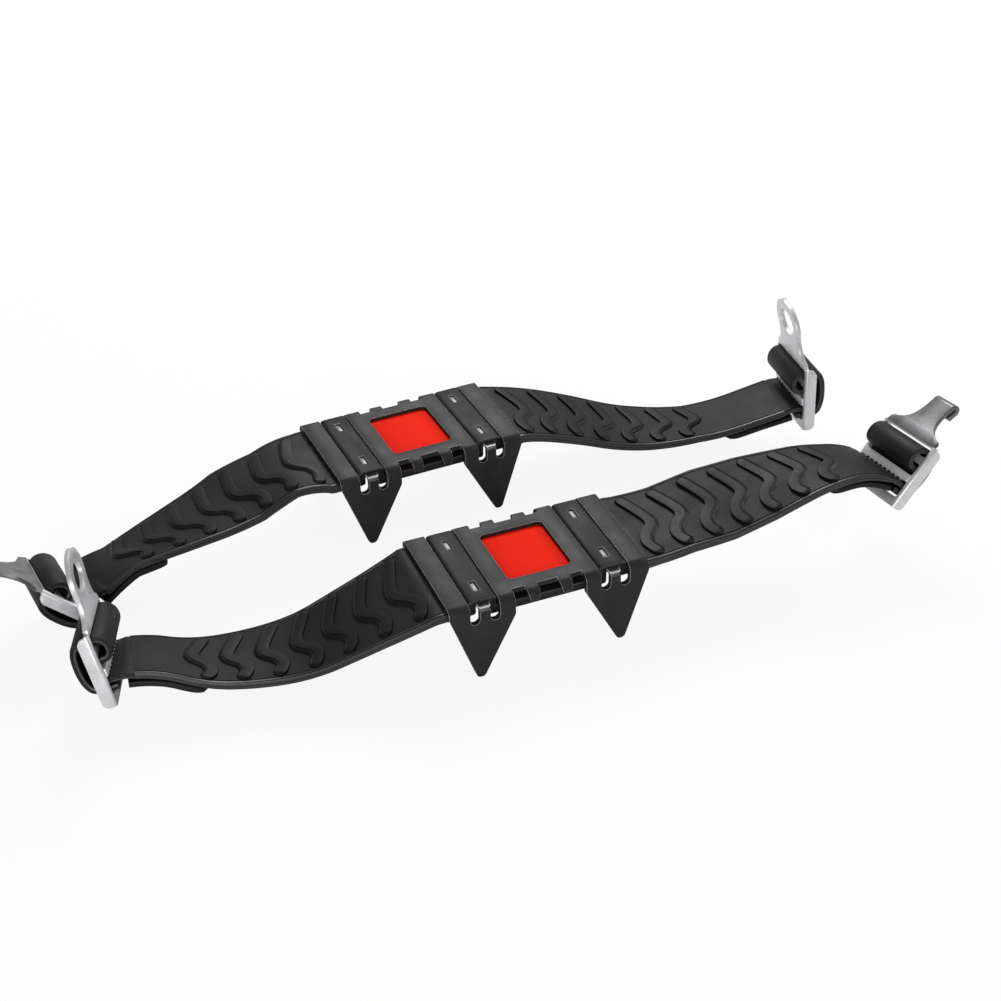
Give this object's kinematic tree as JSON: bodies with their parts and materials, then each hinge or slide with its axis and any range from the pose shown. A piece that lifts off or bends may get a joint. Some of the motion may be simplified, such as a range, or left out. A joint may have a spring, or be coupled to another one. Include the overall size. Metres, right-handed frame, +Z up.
{
  "type": "instep crampon pair",
  "caption": "Pair of instep crampons: bent steel plates with downward spikes, carried on ribbed rubber straps that end in steel ladder buckles with a hook at one end and an eyelet at the other",
  "frame": {"origin": "centre of the bounding box at floor level, where the spike tips stand", "axes": "+X along the front crampon's strap towards its hook, +Y from the front crampon back to the rear one, +Z up"},
  "size_m": [0.3544, 0.1394, 0.0632],
  "materials": {
    "coated_steel": "dark hammered coating with bright cut edges",
    "zinc_steel": "zinc plated, light grey, slightly grained",
    "black_rubber": "matt moulded rubber with a fine grain",
    "red_rubber": "smooth red moulded rubber"
  },
  "bodies": {
    "spike_plates": {"front_spike_plate": "coated_steel", "front_strap_centre": "black_rubber", "front_red_pad": "red_rubber", "front_hook_side_bar": "zinc_steel", "front_ring_side_bar": "zinc_steel", "rear_spike_plate": "coated_steel", "rear_strap_centre": "black_rubber", "rear_red_pad": "red_rubber", "rear_hook_side_bar": "zinc_steel", "rear_ring_side_bar": "zinc_steel"},
    "front_hook_strap": {"front_hook_arm": "black_rubber", "front_hook_tail": "black_rubber"},
    "front_hook_buckle": {"front_hook_loop": "black_rubber", "front_hook_plate": "zinc_steel"},
    "front_ring_strap": {"front_ring_arm": "black_rubber", "front_ring_tail": "black_rubber"},
    "front_ring_buckle": {"front_ring_loop": "black_rubber", "front_ring_plate": "zinc_steel"},
    "rear_hook_strap": {"rear_hook_arm": "black_rubber", "rear_hook_tail": "black_rubber"},
    "rear_hook_buckle": {"rear_hook_loop": "black_rubber", "rear_hook_plate": "zinc_steel"},
    "rear_ring_strap": {"rear_ring_arm": "black_rubber", "rear_ring_tail": "black_rubber"},
    "rear_ring_buckle": {"rear_ring_loop": "black_rubber", "rear_ring_plate": "zinc_steel"}
  },
  "joints": [
    {"name": "front_hook_strap_fold", "type": "hinge", "parent": "spike_plates", "child": "front_hook_strap", "pos_m": [0.04246, -0.0449, 0.02605], "axis": [0, -1, 0], "range_deg": [-3, 68], "stiffness_Nm_per_rad": 0.6, "springref_deg": 2.86},
    {"name": "front_hook_buckle_swing", "type": "hinge", "parent": "front_hook_strap", "child": "front_hook_buckle", "pos_m": [0.14472, -0.04947, 0.02843], "axis": [0.0549, 0.9818, -0.1816], "range_deg": [-18, 15]},
    {"name": "front_ring_strap_fold", "type": "hinge", "parent": "spike_plates", "child": "front_ring_strap", "pos_m": [-0.03754, -0.0449, 0.02605], "axis": [0, 1, 0], "range_deg": [-3, 80], "stiffness_Nm_per_rad": 0.6, "springref_deg": 2.86},
    {"name": "front_ring_buckle_swing", "type": "hinge", "parent": "front_ring_strap", "child": "front_ring_buckle", "pos_m": [-0.13884, -0.02957, 0.01326], "axis": [-0.2486, -0.9305, 0.269], "range_deg": [-18, 15]},
    {"name": "rear_hook_strap_fold", "type": "hinge", "parent": "spike_plates", "child": "rear_hook_strap", "pos_m": [-0.04779, 0.04165, 0.02605], "axis": [-0.0488, 0.9988, 0], "range_deg": [-3, 56], "stiffness_Nm_per_rad": 0.6, "springref_deg": 2.86},
    {"name": "rear_hook_buckle_swing", "type": "hinge", "parent": "rear_hook_strap", "child": "rear_hook_buckle", "pos_m": [-0.14251, 0.01424, 0.01414], "axis": [0.0709, -0.9699, 0.2331], "range_deg": [-18, 15]},
    {"name": "rear_ring_strap_fold", "type": "hinge", "parent": "spike_plates", "child": "rear_ring_strap", "pos_m": [0.03211, 0.04555, 0.02605], "axis": [0.0488, -0.9988, 0], "range_deg": [-3, 75], "stiffness_Nm_per_rad": 0.6, "springref_deg": 2.86},
    {"name": "rear_ring_buckle_swing", "type": "hinge", "parent": "rear_ring_strap", "child": "rear_ring_buckle", "pos_m": [0.1478, 0.01999, 0.02014], "axis": [0.2101, 0.9701, -0.1213], "range_deg": [-18, 15]}
  ]
}
